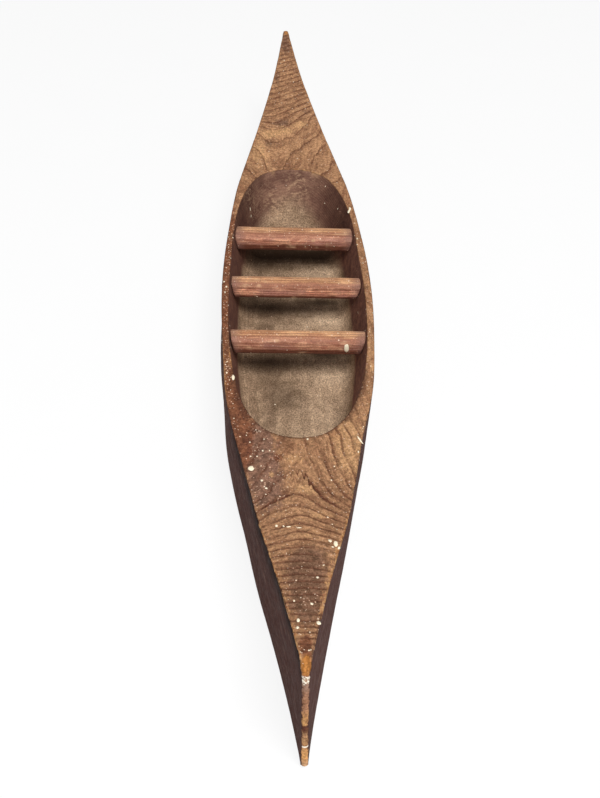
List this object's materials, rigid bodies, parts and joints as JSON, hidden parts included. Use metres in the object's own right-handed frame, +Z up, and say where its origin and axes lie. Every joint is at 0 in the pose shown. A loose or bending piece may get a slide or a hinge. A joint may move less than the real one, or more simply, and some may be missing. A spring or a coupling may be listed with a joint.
{
  "type": "wooden model canoe",
  "caption": "Small hand-carved wooden model canoe: a hollowed, double-pointed hull with plumb ends, flat bottom and whittled thwarts across the hollow.",
  "frame": {"origin": "centre of the flat resting plane under the hull, midway between the stems", "axes": "+X along the hull to the bow, +Y to port, +Z up"},
  "size_m": [0.457, 0.0758, 0.073],
  "materials": {
    "stained_softwood": "old red-brown stain, worn to bare wood at the edges",
    "thwart_wood": "old red-brown stain, rubbed",
    "brad_steel": "dull, darkened with rust"
  },
  "bodies": {
    "root": {"hull": "stained_softwood", "stern_thwart": "thwart_wood", "middle_thwart": "thwart_wood", "bow_thwart": "thwart_wood", "stern_port_brad": "brad_steel", "stern_starboard_brad": "brad_steel", "middle_port_brad": "brad_steel", "middle_starboard_brad": "brad_steel", "bow_port_brad": "brad_steel", "bow_starboard_brad": "brad_steel"}
  },
  "joints": []
}
